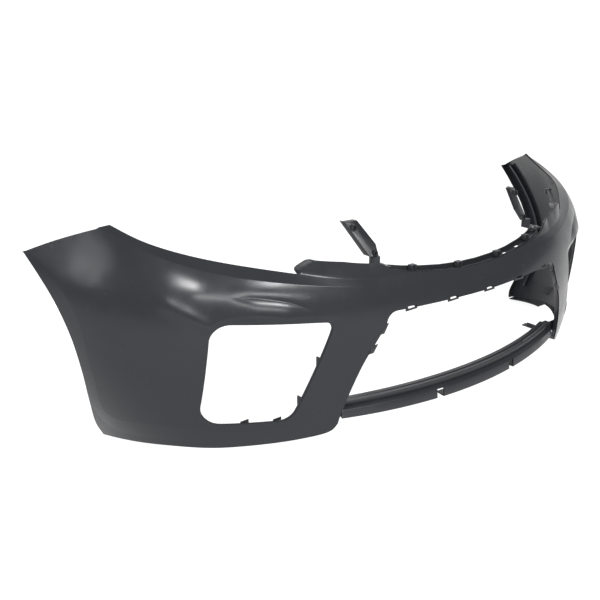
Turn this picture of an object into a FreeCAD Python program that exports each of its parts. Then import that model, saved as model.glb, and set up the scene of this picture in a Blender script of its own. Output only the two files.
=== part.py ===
import FreeCAD, Part
import math
import os

# Front bumper cover of a compact coupe, one shell with black carriers and clips.
# Millimetres. X runs across the car, Y runs rearwards from the nose, Z is up.
# The shape is drawn with Y = 0 at the nose and Z = 0 at the lowest corner, then moved
# so that the origin is midway between the two arm bolt holes that hang the cover.

Vector = FreeCAD.Vector
REARWARDS = Vector(0, 1, 0)
UPWARDS = Vector(0, 0, 1)

# ---- driving dimensions ----
SKIN = 3.0
FLANGE = 3.0
FOG_FLANGE_DEPTH = 7.0
GRILLE_FLANGE_DEPTH = 13.0
ARCH_FLANGE_DEPTH = 20.0
BOTTOM_FLANGE_DEPTH = 16.0
SEAM_FLANGE_DEPTH = 12.0
FAR = 1200.0

ARM_HOLE_X = 290.0
ARM_HOLE_Y = 184.0
ARM_HOLE_Z = 505.0
ARM_HOLE_R = 4.5
ARM_HOLE_PAD_R = 8.0
ARM_LOW_HOLE = (269.0, 131.0, 453.0)
ARM_LOW_HOLE_R = 3.5
ARM_LOW_PAD_R = 6.5
ARM_PAD_DEPTH = 9.0
ARM_LOW_PAD_DEPTH = 8.0
ARM_LOW_PAD_FRONT = 5.0
ARM_TURN = 20.0
ARM_FRONT = (290.0, 181.0, 505.0)
ARM_OUTLINE = [(257, 470), (274, 518), (302, 516), (283, 447), (263, 444)]
ARM_OUTER_FLANGE = 20.0
ARM_INNER_FLANGE = 14.0
ARM_HEAD_LIP = 14.0
ARM_PLATE = 3.0
ORIGIN = Vector(0, ARM_HOLE_Y, ARM_HOLE_Z)

CLIP_PLATE = 2.5
SCREW_R = 3.0
SCREW_HEAD_R = 7.0
SCREW_HEAD = 3.0
SCREW_X = 432.0
SCREW_Z = (109.0, 123.0)
SCREW_BOSS_R = 6.0
SCREW_FRONT_Y = 93.0
SCREW_SEAT_Y = 106.0
RIVET_R = 3.0
RIVET_HEAD_R = 5.5
RIVET_HEAD = 2.0
RIVETS = [(266.0, 97.0), (282.0, 97.0)]
STRAP_HOLE_R = 4.0
STRAP_NUT_R = 7.5
STRAP_BOSS_R = 9.0
STRAP_BOSS_DEPTH = 14.0
STRAP_SECTION = [(0, 0), (0, -14), (3, -14), (3, -3), (14, -3), (14, 0)]
SHIELD_HOLE = (738.0, 428.0)
SHIELD_HOLE_R = 4.0
BOSS_FRONT_Y = 89.0
BOSS_LENGTH = 14.0
DRILL_PAST = 10.0
DRILL_DEEP = 30.0
CLEARANCE = 0.1

# Foot of each arm on the cover's tongue, as low and high limits.
FOOT_X = (258.0, 290.0)
FOOT_Y = (86.0, 127.0)
FOOT_Z = (428.0, 431.0)
TONGUE_Y = (74.0, 108.0)
TONGUE_Z = (425.0, 428.0)
NECK_X = (262.0, 286.0)
NECK_Y = (119.0, 130.0)
NECK_Z = (428.0, 447.0)

# Crossbar bracket: x, y and z limits of each block.
BRACKET_BLOCK = (372.0, 402.0, 99.0, 117.0, 99.0, 131.0)
BRACKET_POCKET = (376.0, 398.0, 102.0, 120.0, 103.0, 127.0)
BRACKET_EAR = (398.0, 446.0, 103.0, 106.0, 101.0, 131.0)
BRACKET_TONGUE = (376.0, 396.0, 115.0, 176.0, 104.0, 107.0)
BRACKET_RIB = (384.5, 387.5, 115.0, 165.0, 106.0, 114.0)

# Pieces inside the wings.
SHELF_RISE = 3.1
SHELF_THICKNESS = 2.9
SHELF_DEPTH = 42.0
SHELF_KEEP = (500.0, 900.0, 335.0, 492.0, -20.0, 120.0)
GUSSET_X = 739.0
GUSSET_OUTLINE = [(270, 117), (368, 88), (368, 80), (270, 49)]
GUSSET_DEPTH = 110.0
ARCH_RIB_RING = (38.0, 46.0)
ARCH_RIB_DEPTH = 13.0
ARCH_RIB_KEEP = (600.0, 950.0, 380.0, 640.0, 60.0, 470.0)

# Control net of the outer surface: one list per station, from the centre to behind the arch.
# Rows: ledge, crease, then seven rows down to below the bottom edge.
STATIONS = [
    [(0, 33, 402), (0, 27, 388), (0, 18, 370), (0, 4, 345), (0, 1, 290),
     (0, 1, 210), (0, 3, 130), (0, 9, 60), (0, 20, 0)],
    [(110, 39, 407), (110, 32, 391), (110, 24, 372), (110, 11, 345), (110, 8, 290),
     (110, 7, 210), (110, 9, 130), (110, 15, 60), (110, 26, 0)],
    [(215, 53, 419), (218, 43, 397), (220, 36, 376), (220, 27, 345), (220, 23, 290),
     (220, 22, 210), (220, 24, 130), (220, 32, 60), (220, 44, 0)],
    [(325, 78, 412), (325, 65, 402), (324, 55, 380), (322, 47, 345), (320, 43, 290),
     (320, 42, 210), (320, 45, 130), (320, 55, 60), (320, 68, 0)],
    [(428, 122, 432), (425, 107, 412), (422, 91, 385), (420, 81, 345), (420, 77, 290),
     (420, 77, 210), (420, 80, 130), (418, 91, 60), (416, 106, 0)],
    [(512, 188, 448), (515, 155, 427), (512, 132, 396), (511, 120, 350), (510, 116, 290),
     (510, 118, 210), (510, 122, 130), (508, 134, 60), (505, 151, 0)],
    [(584, 244, 463), (592, 207, 441), (593, 179, 409), (593, 164, 355), (592, 160, 290),
     (590, 163, 210), (590, 167, 130), (587, 178, 60), (582, 195, 0)],
    [(638, 296, 476), (653, 266, 457), (663, 233, 420), (667, 213, 360), (665, 208, 290),
     (662, 208, 210), (660, 213, 130), (654, 224, 60), (645, 240, 0)],
    [(682, 362, 489), (701, 338, 476), (721, 307, 430), (728, 280, 365), (728, 270, 290),
     (725, 268, 210), (720, 272, 130), (710, 282, 60), (698, 296, 0)],
    [(708, 415, 501), (727, 403, 495), (760, 378, 440), (774, 350, 370), (777, 340, 290),
     (773, 335, 210), (765, 340, 130), (752, 348, 60), (736, 360, 0)],
    [(731, 462, 519), (744, 464, 513), (782, 440, 445), (805, 420, 372), (813, 410, 290),
     (810, 408, 210), (798, 412, 130), (782, 420, 60), (764, 430, 0)],
    [(754, 520, 540), (766, 525, 522), (802, 506, 448), (830, 492, 375), (839, 487, 290),
     (836, 487, 210), (822, 490, 130), (804, 494, 60), (782, 500, 0)],
    [(788, 590, 540), (800, 592, 520), (834, 580, 450), (855, 568, 378), (859, 562, 290),
     (854, 560, 210), (838, 562, 130), (818, 565, 60), (794, 570, 0)],
    [(848, 690, 525), (860, 690, 505), (891, 685, 450), (897, 680, 380), (890, 675, 290),
     (880, 672, 210), (862, 670, 130), (838, 668, 60), (810, 668, 0)],
]
CREASE_ROW = 1

# Trim outlines. SEAM, ARCH_EDGE and BOTTOM_EDGE are side views (y, z); openings are front views (x, z).
SEAM = [(477, 525), (534, 502), (594, 476), (662, 443)]
ARCH_EDGE = [(662, 443), (602, 397), (544, 327), (505, 262), (491, 190), (500, 105), (530, 2)]
BOTTOM_EDGE = [(530, 2), (477, 13), (406, 27), (304, 43), (207, 48), (125, 59), (95, 71), (83, 94)]
FOG_CORNERS = [(425, 337), (656, 348), (681, 116), (511, 116)]
FOG_RADII = [11, 38, 38, 34]
GRILLE_TOP_Z = 343.0
GRILLE_CORNER_X = 297.0
GRILLE_CORNER_R = 20.0
PILLAR_LINE = [(366, 220), (404, 112)]

# Upper panel between the headlamps: rises from the ledge to the bonnet line, as (x, y, z).
PANEL_FOOT = [(467, 142, 438), (431, 123, 432), (375, 99, 421), (322, 79, 411), (292, 70, 405)]
PANEL_TOP = [(455, 148, 452), (431, 138, 467), (375, 116, 459), (322, 96, 450), (292, 80, 446)]
PANEL_END = [
    ((258, 58, 398), (263, 71, 427)),
    ((225, 47, 396), (225, 59, 420)),
    ((180, 39, 394), (180, 48, 414)),
]

# Grille edge and crossbar lines, as (x, y, z) from the centre outwards.
GRILLE_EDGE = [(0, 33, 402), (60, 35, 403), (120, 40, 407), (180, 48, 414), (225, 59, 420), (258, 69, 426)]
BAR_RADIUS = 1150.0
BAR_FRONT_Y = 30.0
BAR_REACH = 378.0
BAR_HALF_ANGLE = math.degrees(math.asin(BAR_REACH / BAR_RADIUS))
BAR_SECTION = [(0, 136), (0, 121), (-9, 117), (-12, 92), (16, 92), (16, 95), (-8.7, 95), (-6, 114.5),
               (3, 118.7), (3, 133), (26, 133), (26, 136)]

RAIL_SLOTS = [105.0, 160.0]
RAIL_SECTION = [(4.5, -7), (31, -7), (31, 6), (28, 6), (28, -4), (12, -4), (12, -1), (9, -1), (9, -4),
                (4.5, -4)]
TOWER_X = [70.0, 205.0]
TOWER_HOLE_R = 3.2
BAR_NOTCH_X = 133.0
BAR_NOTCH_WIDTH = 20.0
BAR_NOTCH_Y = (0.0, 120.0)
BAR_NOTCH_Z = (80.0, 108.0)

# Strap under the headlamp edge, and the clips' places, as (x, y, z) on the left side.
STRAP_LINE = [(500, 193, 434), (540, 222, 440), (580, 256, 446), (612, 287, 451)]
FOG_SIDE_CLIPS = [(450, 99, 246), (488, 118, 156)]
FOG_LOW_CLIPS = [(592, 188, 108), (529, 152, 108)]
GRILLE_CLIPS = [(0, 12.5), (120, 19.5), (240, 36)]
PILLAR_CLIPS = [
    (48, [(297, 317), (310, 295), (324, 295), (311, 317)]),
    (51, [(325, 273), (338, 255), (352, 255), (340, 273)]),
]
CLIP_WINDOW = 22.0
CLIP_WIDTH = 36.0


# ---- helpers ----
def unit(vector):
    return Vector(vector).normalize()


def mirrored(shape):
    return shape.mirror(Vector(0, 0, 0), Vector(1, 0, 0))


def both_sides(shape):
    return [shape, mirrored(shape)]


def full_width_net():
    half = [[Vector(*point) for point in station] for station in STATIONS]
    other = [[Vector(-p.x, p.y, p.z) for p in station] for station in reversed(half[1:])]
    return other + half


def net_normals(net):
    """Outward unit normal at every control point, from its neighbours."""
    last_u = len(net) - 1
    last_v = len(net[0]) - 1
    normals = []
    for i in range(last_u + 1):
        row = []
        for j in range(last_v + 1):
            along = net[min(i + 1, last_u)][j] - net[max(i - 1, 0)][j]
            down = net[i][min(j + 1, last_v)] - net[i][max(j - 1, 0)]
            row.append(unit(down.cross(along)))
        normals.append(row)
    return normals


def clamped_knots(count, degree):
    inner = count - degree - 1
    multiplicities = [degree + 1] + [1] * inner + [degree + 1]
    knots = [float(i) for i in range(inner + 2)]
    return knots, multiplicities


def net_surface(poles):
    u_degree = 3
    v_degree = min(3, len(poles[0]) - 1)
    u_knots, u_mults = clamped_knots(len(poles), u_degree)
    v_knots, v_mults = clamped_knots(len(poles[0]), v_degree)
    surface = Part.BSplineSurface()
    surface.buildFromPolesMultsKnots(
        poles, u_mults, v_mults, u_knots, v_knots, False, False, u_degree, v_degree)
    return surface


def offset_net(net, normals, depth):
    return [[p - n * depth for p, n in zip(row, ns)] for row, ns in zip(net, normals)]


def rim_faces(outer, inner):
    """Ruled faces between the four boundary edges of two like surfaces."""
    faces = []
    for a, b in zip(boundary_edges(outer), boundary_edges(inner)):
        faces.append(Part.makeRuledSurface(a, b))
    return faces


def boundary_edges(surface):
    u0, u1, v0, v1 = surface.bounds()
    return [surface.vIso(v0).toShape(), surface.vIso(v1).toShape(), surface.uIso(u0).toShape(),
            surface.uIso(u1).toShape()]


def closed_solid(faces):
    shell = Part.makeShell(faces)
    shell.sewShape()
    solid = Part.makeSolid(shell)
    if solid.Volume < 0:
        solid.reverse()
    return solid


def layer(near_depth, far_depth):
    """Closed layer of the cover between two depths behind the outer surface."""
    net = full_width_net()
    normals = net_normals(net)
    outer = offset_net(net, normals, near_depth)
    inner = offset_net(net, normals, far_depth)
    return closed_solid(ledge_faces(outer, inner) + body_faces(outer, inner))


def ledge_faces(outer, inner):
    """Faces of a layer above the crease, without the rim at the crease."""
    front_patch = net_surface([row[:CREASE_ROW + 1] for row in outer])
    back_patch = net_surface([row[:CREASE_ROW + 1] for row in inner])
    top, _, first_end, last_end = rim_faces(front_patch, back_patch)
    return [front_patch.toShape(), back_patch.toShape(), top, first_end, last_end]


def body_faces(outer, inner):
    """Faces of a layer below the crease, without the rim at the crease."""
    front_patch = net_surface([row[CREASE_ROW:] for row in outer])
    back_patch = net_surface([row[CREASE_ROW:] for row in inner])
    _, bottom, first_end, last_end = rim_faces(front_patch, back_patch)
    return [front_patch.toShape(), back_patch.toShape(), bottom, first_end, last_end]


def prism_y(wire):
    """Solid from a wire in the front view, right through the car's nose."""
    face = Part.Face(wire)
    return face.extrude(Vector(0, 2 * FAR, 0))


def prism_x(wire):
    face = Part.Face(wire)
    return face.extrude(Vector(2 * FAR, 0, 0))


def front(x, z):
    return Vector(x, -FAR, z)


def side(y, z):
    return Vector(-FAR, y, z)


def spline_through(points):
    curve = Part.BSplineCurve()
    curve.interpolate(points)
    return curve.toShape()


def polyline(points):
    return [Part.makeLine(a, b) for a, b in zip(points[:-1], points[1:])]


def rounded_polygon(corners, radii):
    """Closed wire in the front view with each corner rounded to its radius."""
    count = len(corners)
    starts = []
    arcs = []
    for i, radius in enumerate(radii):
        here = front(*corners[i])
        before = unit(front(*corners[i - 1]) - here)
        after = unit(front(*corners[(i + 1) % count]) - here)
        half_angle = before.getAngle(after) / 2
        reach = radius / math.tan(half_angle)
        centre = here + unit(before + after) * (radius / math.sin(half_angle))
        middle = centre + unit(here - centre) * radius
        starts.append((here + before * reach, here + after * reach))
        arcs.append(Part.Arc(here + before * reach, middle, here + after * reach).toShape())
    edges = []
    for i in range(count):
        edges.append(arcs[i])
        edges.append(Part.makeLine(starts[i][1], starts[(i + 1) % count][0]))
    return Part.Wire(edges)


def fog_outline(grow=0.0):
    wire = rounded_polygon(FOG_CORNERS, FOG_RADII)
    return wire.makeOffset2D(grow) if grow else wire


def grille_outline(grow=0.0):
    """Lower grille opening, from the centre beam down past the pillars' feet."""
    top = GRILLE_TOP_Z + grow
    corner = GRILLE_CORNER_X + grow
    radius = GRILLE_CORNER_R
    diagonal = radius * (1 - math.sqrt(0.5))
    middle_x, middle_z = PILLAR_LINE[0]
    foot_x, foot_z = PILLAR_LINE[1]
    arc_start = front(corner - radius, top)
    arc_end = front(corner + radius * 0.42, top - radius * 1.25)
    arc_middle = front(corner - diagonal * 0.9, top - diagonal * 1.25)
    right = [
        Part.Arc(arc_start, arc_middle, arc_end).toShape(),
        Part.Arc(arc_end, front(middle_x + grow, middle_z), front(foot_x + grow, foot_z)).toShape(),
        Part.makeLine(front(foot_x + grow, foot_z), front(foot_x + grow + 6, -FAR)),
    ]
    left = [mirrored(edge) for edge in right]
    joins = [
        Part.makeLine(front(-corner + radius, top), arc_start),
        Part.makeLine(front(-foot_x - grow - 6, -FAR), front(foot_x + grow + 6, -FAR)),
    ]
    return Part.Wire(Part.__sortEdges__(right + left + joins))


def side_region(edge_points, corner_points):
    """Closed side-view wire: a smooth edge closed by straight lines."""
    edge = spline_through([side(*p) for p in edge_points])
    closing = [side(*edge_points[-1])] + [side(*p) for p in corner_points] + [side(*edge_points[0])]
    return Part.Wire([edge] + polyline(closing))


def shifted(points, dy, dz):
    return [(y + dy, z + dz) for y, z in points]


def arch_cut(grow=0.0):
    """Everything rearwards of the wheel-arch edge, grown forwards by a distance."""
    centre_y, centre_z = 799.0, 165.0
    points = []
    for y, z in ARCH_EDGE:
        reach = math.hypot(y - centre_y, z - centre_z)
        scale = (reach + grow) / reach
        points.append((centre_y + (y - centre_y) * scale, centre_z + (z - centre_z) * scale))
    return prism_x(side_region(points, [(points[-1][0] + 8, -FAR), (FAR, -FAR), (FAR, points[0][1])]))


def bottom_cut(grow=0.0):
    points = shifted(BOTTOM_EDGE, 0, grow)
    first = (points[0][0] + 60, points[0][1] - 14)
    return prism_x(side_region([first] + points, [(points[-1][0], -FAR), (first[0], -FAR)]))


def seam_cut(drop=0.0):
    points = shifted(SEAM, 0, -drop)
    lead = (points[0][0] - 0.5, points[0][1] + 0.2)
    tail = (points[-1][0] + 90, points[-1][1] - 50)
    return prism_x(side_region([lead] + points + [tail], [(tail[0], FAR), (lead[0], FAR)]))


def bar(stations, profile):
    """Straight-sided bar through stations (x, y, z), with a profile of (dy, dz) at each."""
    wires = []
    for x, y, z in stations:
        points = [Vector(x, y + dy, z + dz) for dy, dz in profile]
        wires.append(Part.makePolygon(points + points[:1]))
    return Part.makeLoft(wires, True, True)


def mirrored_stations(half):
    return [(-x, y, z) for x, y, z in reversed(half[1:])] + list(half)


def slab(points, push):
    """Flat plate: corners joined by straight edges, thickened by a vector."""
    corners = [Vector(*p) for p in points]
    return Part.Face(Part.makePolygon(corners + corners[:1])).extrude(push)


def box(x0, x1, y0, y1, z0, z1):
    return Part.makeBox(x1 - x0, y1 - y0, z1 - z0, Vector(x0, y0, z0))


def cylinder(radius, length, start, axis):
    return Part.makeCylinder(radius, length, Vector(*start), axis)


# ---- the cover ----
def make_panel():
    """Raised panel each side and the sloping ends down to the grille edge."""
    wires = []
    back = REARWARDS * SKIN
    for (x0, y0, z0), (x1, y1, z1) in zip(PANEL_FOOT, PANEL_TOP):
        low = Vector(x0, y0 - 0.4, z0 - 5)
        high = Vector(x1, y1, z1)
        wires.append(Part.makePolygon([low, high, high + back, low + back * 2.2, low]))
    for foot_point, top_point in PANEL_END:
        low = Vector(*foot_point)
        high = Vector(*top_point)
        wires.append(Part.makePolygon([low, high, high + back, low + back * 2.2, low]))
    return Part.makeLoft(wires, True, True)


def make_cover():
    skin = layer(0.0, SKIN)
    fog = prism_y(fog_outline())
    fog_outer = prism_y(fog_outline(FLANGE))
    grille = prism_y(grille_outline())
    grille_outer = prism_y(grille_outline(FLANGE))
    deep = layer(0.5, FOG_FLANGE_DEPTH)
    arch_deep = layer(0.5, ARCH_FLANGE_DEPTH)
    fog_flange = deep.common(fog_outer.cut(fog))
    pieces = [fog_flange, mirrored(fog_flange)]
    pieces.append(layer(0.5, GRILLE_FLANGE_DEPTH).common(grille_outer.cut(grille)))
    pieces.append(arch_deep.common(arch_cut(FLANGE)))
    pieces.append(deep.common(bottom_cut(FLANGE)))
    pieces.append(layer(0.5, SEAM_FLANGE_DEPTH).common(seam_cut(FLANGE)))
    panel = make_panel()
    tongue = box(*FOOT_X, *TONGUE_Y, *TONGUE_Z)
    bosses = [cylinder(SCREW_BOSS_R, BOSS_LENGTH, (SCREW_X, BOSS_FRONT_Y, z), REARWARDS) for z in SCREW_Z]
    for piece in [panel, tongue] + bosses:
        pieces += both_sides(piece)
    cover = skin.fuse(pieces)
    for cutter in (fog, mirrored(fog), grille, arch_cut(), bottom_cut(), seam_cut()):
        cover = cover.cut(cutter)
    holes = [cylinder(RIVET_R, 2 * DRILL_PAST, (x, y, TONGUE_Z[0] - DRILL_PAST), UPWARDS) for x, y in RIVETS]
    holes += [cylinder(SCREW_R, BOSS_LENGTH, (SCREW_X, SCREW_FRONT_Y, z), REARWARDS) for z in SCREW_Z]
    holes += clip_notches()
    for hole in holes:
        for cutter in both_sides(hole):
            cover = cover.cut(cutter)
    solids = sorted(cover.Solids, key=lambda s: s.Volume)
    return solids[-1]


def clip_notches():
    """Cut-outs in the centre beam's lower edge where the loop clips sit."""
    notches = []
    for x, y in GRILLE_CLIPS:
        window = CLIP_WINDOW / 2
        seat = CLIP_WIDTH / 2 + 1
        notches.append(box(x - window, x + window, y - 30, y + 30, GRILLE_TOP_Z - 5, GRILLE_TOP_Z + 7))
        notches.append(box(x - seat, x + seat, y - 0.3, y + 30, GRILLE_TOP_Z - 5, GRILLE_TOP_Z + 5))
    return notches


# ---- black carriers behind the bonnet line ----
def make_grille_rail():
    """Channel behind the upper grille edge, with a groove for the grille's lower lip."""
    rail = bar(mirrored_stations(GRILLE_EDGE), RAIL_SECTION)
    for x in RAIL_SLOTS:
        y, z = grille_edge_at(x)
        for slot in both_sides(box(x - 9, x + 9, y + 15, y + 25, z - 12, z)):
            rail = rail.cut(slot)
    return rail


def grille_edge_at(x):
    """Height and depth of the grille edge at a distance from the centre."""
    for (x0, y0, z0), (x1, y1, z1) in zip(GRILLE_EDGE[:-1], GRILLE_EDGE[1:]):
        if x0 <= x <= x1:
            share = (x - x0) / (x1 - x0)
            return y0 + share * (y1 - y0), z0 + share * (z1 - z0)
    return GRILLE_EDGE[-1][1:]


def make_clip_towers():
    """Screw towers that stand on the rail and take the grille's clips."""
    towers = []
    for x in TOWER_X:
        y, z = grille_edge_at(x)
        base = z - 2.5
        tower = box(x - 8, x + 8, y + 13.5, y + 26.5, base, base + 13)
        tower = tower.cut(cylinder(TOWER_HOLE_R, 2 * DRILL_PAST, (x, y + DRILL_PAST, base + 8), REARWARDS))
        towers += both_sides(tower)
    return towers


def arm_point(x, z):
    """Point on the front face of an arm's web, which is turned outwards and leans back."""
    turn = math.radians(ARM_TURN)
    across = Vector(math.cos(turn), math.sin(turn), 0)
    up = Vector(*ARM_FRONT) - Vector(*ARM_LOW_HOLE)
    normal = up.cross(across)
    x0, y0, z0 = ARM_FRONT
    y = y0 - (normal.x * (x - x0) + normal.z * (z - z0)) / normal.y
    return Vector(x, y, z)


def make_arm():
    """Upper arm: a leaning web with a flange down each edge and a foot on the cover's tongue."""
    low_x, low_y, low_z = ARM_LOW_HOLE
    corners = [arm_point(x, z) for x, z in ARM_OUTLINE]
    bend, inner_top, outer_top, outer_foot, inner_foot = corners
    back = unit((outer_top - inner_top).cross(inner_top - bend))
    if back.y < 0:
        back = back * -1
    across = unit(outer_top - inner_top)
    web = slab(corners, back * ARM_PLATE)
    deep = REARWARDS * ARM_OUTER_FLANGE
    shallow = REARWARDS * ARM_INNER_FLANGE
    lip = REARWARDS * ARM_HEAD_LIP
    pieces = [
        slab([outer_foot, outer_top, outer_top + deep, outer_foot + deep], across * -ARM_PLATE),
        slab([bend, inner_top, inner_top + shallow, bend + shallow], across * ARM_PLATE),
        slab([inner_foot, bend, bend + shallow, inner_foot + shallow], across * ARM_PLATE),
        slab([inner_top, outer_top, outer_top + lip, inner_top + lip], unit(bend - inner_top) * ARM_PLATE),
        box(*NECK_X, *NECK_Y, *NECK_Z),
        box(*FOOT_X, *FOOT_Y, *FOOT_Z),
        cylinder(ARM_HOLE_PAD_R, ARM_PAD_DEPTH, (ARM_HOLE_X, ARM_HOLE_Y - ARM_PAD_DEPTH, ARM_HOLE_Z),
                 REARWARDS),
        cylinder(ARM_LOW_PAD_R, ARM_LOW_PAD_DEPTH, (low_x, low_y - ARM_LOW_PAD_FRONT, low_z), REARWARDS),
    ]
    arm = web.fuse(pieces)
    holes = [
        cylinder(ARM_HOLE_R, 2 * DRILL_DEEP, (ARM_HOLE_X, ARM_HOLE_Y - DRILL_DEEP, ARM_HOLE_Z), REARWARDS),
        cylinder(ARM_LOW_HOLE_R, 2 * DRILL_DEEP, (low_x, low_y - DRILL_DEEP, low_z), REARWARDS),
    ]
    for x, y in RIVETS:
        holes.append(cylinder(RIVET_R, 2 * DRILL_PAST, (x, y, FOOT_Z[0] - DRILL_PAST), UPWARDS))
    return largest(arm.cut(Part.makeCompound(holes)))


def make_rivets():
    """Rivets that hold an arm's foot to the tongue of the cover."""
    rivets = []
    for x, y in RIVETS:
        shank = cylinder(RIVET_R, FOOT_Z[1] - TONGUE_Z[0], (x, y, TONGUE_Z[0]), UPWARDS)
        top = cylinder(RIVET_HEAD_R, RIVET_HEAD, (x, y, FOOT_Z[1]), UPWARDS)
        tail = cylinder(RIVET_HEAD_R, RIVET_HEAD, (x, y, TONGUE_Z[0] - RIVET_HEAD), UPWARDS)
        rivets += both_sides(shank.fuse([top, tail]).removeSplitter())
    return rivets


# ---- lower crossbar ----
def make_crossbar():
    """Curved channel across the bottom of the lower grille opening."""
    centre_y = BAR_FRONT_Y + BAR_RADIUS
    points = [Vector(0, BAR_FRONT_Y + dy, z) for dy, z in BAR_SECTION]
    face = Part.Face(Part.makePolygon(points + points[:1]))
    face.rotate(Vector(0, centre_y, 0), Vector(0, 0, 1), -BAR_HALF_ANGLE)
    channel = face.revolve(Vector(0, centre_y, 0), Vector(0, 0, 1), 2 * BAR_HALF_ANGLE)
    x0 = BAR_NOTCH_X - BAR_NOTCH_WIDTH / 2
    for notch in both_sides(box(x0, x0 + BAR_NOTCH_WIDTH, *BAR_NOTCH_Y, *BAR_NOTCH_Z)):
        channel = channel.cut(notch)
    return channel


def make_bar_bracket():
    """Block inside the crossbar's end, with an ear on the cover and a tongue to the rear."""
    block = box(*BRACKET_BLOCK).cut(box(*BRACKET_POCKET))
    others = [box(*BRACKET_EAR), box(*BRACKET_TONGUE), box(*BRACKET_RIB)]
    bracket = block.fuse(others).removeSplitter()
    for z in SCREW_Z:
        start = (SCREW_X, SCREW_SEAT_Y - DRILL_PAST, z)
        bracket = bracket.cut(cylinder(SCREW_R, 2 * DRILL_PAST, start, REARWARDS))
    return bracket


def make_bar_screws():
    screws = []
    for z in SCREW_Z:
        head = cylinder(SCREW_HEAD_R, SCREW_HEAD, (SCREW_X, SCREW_SEAT_Y, z), REARWARDS)
        shank = cylinder(SCREW_R, SCREW_SEAT_Y - SCREW_FRONT_Y, (SCREW_X, SCREW_FRONT_Y, z), REARWARDS)
        screws += both_sides(shank.fuse(head).removeSplitter())
    return screws


# ---- pieces inside the wings ----
def make_undertray_flange():
    """Shelf inside the bottom edge that the splash shield screws to."""
    band = bottom_cut(SHELF_RISE + SHELF_THICKNESS).cut(bottom_cut(SHELF_RISE))
    shelf = layer(SKIN + CLEARANCE, SHELF_DEPTH).common(band)
    shelf = largest(shelf.common(box(*SHELF_KEEP)))
    x, y = SHIELD_HOLE
    return shelf.cut(cylinder(SHIELD_HOLE_R, FAR, (x, y, -FAR / 2), UPWARDS))


def make_gusset():
    """Upright triangular rib behind the corner."""
    rib = slab([(GUSSET_X, y, z) for y, z in GUSSET_OUTLINE], Vector(FLANGE, 0, 0))
    return largest(rib.common(layer(SKIN + CLEARANCE, GUSSET_DEPTH)))


def make_arch_rib():
    """Rib that stiffens the wheel-arch band from inside."""
    ring = arch_cut(ARCH_RIB_RING[1]).cut(arch_cut(ARCH_RIB_RING[0]))
    rib = layer(SKIN + CLEARANCE, ARCH_RIB_DEPTH).common(ring)
    return largest(rib.common(box(*ARCH_RIB_KEEP)).cut(seam_cut(SEAM_FLANGE_DEPTH + FLANGE + 1)))


def make_headlamp_strap():
    """Strap under the headlamp's lower edge, with a screw boss at its outer end."""
    strap = bar(STRAP_LINE, STRAP_SECTION)
    x, y, z = strap_hole()
    boss = cylinder(STRAP_BOSS_R, STRAP_BOSS_DEPTH, (x, y, z - STRAP_BOSS_DEPTH), UPWARDS)
    pad = box(x - 12, x, y - 10, y, z - FLANGE, z)
    strap = strap.fuse([boss, pad]).removeSplitter()
    return strap.cut(cylinder(STRAP_HOLE_R, 2 * DRILL_DEEP, (x, y, z - DRILL_DEEP), UPWARDS))


def strap_hole():
    """Centre of the strap's screw hole, on top of the boss at its outer end."""
    x, y, z = STRAP_LINE[-1]
    return x + 8, y + 14, z


def make_strap_nuts():
    """Plate nuts pressed on top of the strap bosses."""
    x, y, z = strap_hole()
    nut = cylinder(STRAP_NUT_R, CLIP_PLATE, (x, y, z), UPWARDS)
    nut = nut.cut(cylinder(STRAP_HOLE_R, 2 * DRILL_PAST, (x, y, z - DRILL_PAST), UPWARDS))
    return both_sides(nut)


# ---- clips ----
def make_fog_clips():
    """Snap tabs for the fog lamp bezel, behind the opening's flange."""
    tabs = []
    for x, y, z in FOG_SIDE_CLIPS:
        tabs.append(box(x - 2, x + 2, y, y + 14, z - 11, z + 11))
    for x, y, z in FOG_LOW_CLIPS:
        tabs.append(box(x - 11, x + 11, y, y + CLIP_PLATE, z - 10, z + 8))
    return tabs


def make_grille_clips():
    """Loops that hang in the notches of the lower grille opening's top edge."""
    tabs = []
    for x, y in GRILLE_CLIPS:
        half = CLIP_WIDTH / 2
        window = CLIP_WINDOW / 2
        loop = box(x - half, x + half, y, y + CLIP_PLATE, GRILLE_TOP_Z - 5, GRILLE_TOP_Z + 4.5)
        loop = loop.cut(box(x - window, x + window, y - 5, y + 10, GRILLE_TOP_Z - 0.5, GRILLE_TOP_Z + 10))
        tabs += both_sides(loop) if x else [loop]
    return tabs


def make_pillar_clips():
    """Tabs that stick out past the pillar's edge into the lower grille opening."""
    tabs = []
    for y, outline in PILLAR_CLIPS:
        tabs.append(slab([(x, y, z) for x, z in outline], Vector(0, CLIP_PLATE, 0)))
    return tabs


def largest(shape):
    return sorted(shape.Solids, key=lambda solid: solid.Volume)[-1]


# ---- export ----
def save(name, shapes):
    """One STEP file per sub-part, with the arm bolt holes' midpoint at the origin."""
    solids = shapes if isinstance(shapes, list) else [shapes]
    moved = []
    for solid in solids:
        copy = solid.copy()
        copy.translate(-ORIGIN)
        moved.append(copy)
    shape = moved[0] if len(moved) == 1 else Part.makeCompound(moved)
    shape.exportStep(os.path.join("parts", name + ".step"))
    count = len(shape.Solids)
    print(name, "valid" if shape.isValid() else "INVALID", count, round(shape.Volume))


def save_pair(name, shapes):
    """The same piece on each side of the car; the car faces -Y, so its left is +X."""
    solids = shapes if isinstance(shapes, list) else [shapes]
    save(name + "_left", solids)
    save(name + "_right", [mirrored(solid) for solid in solids])


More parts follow.
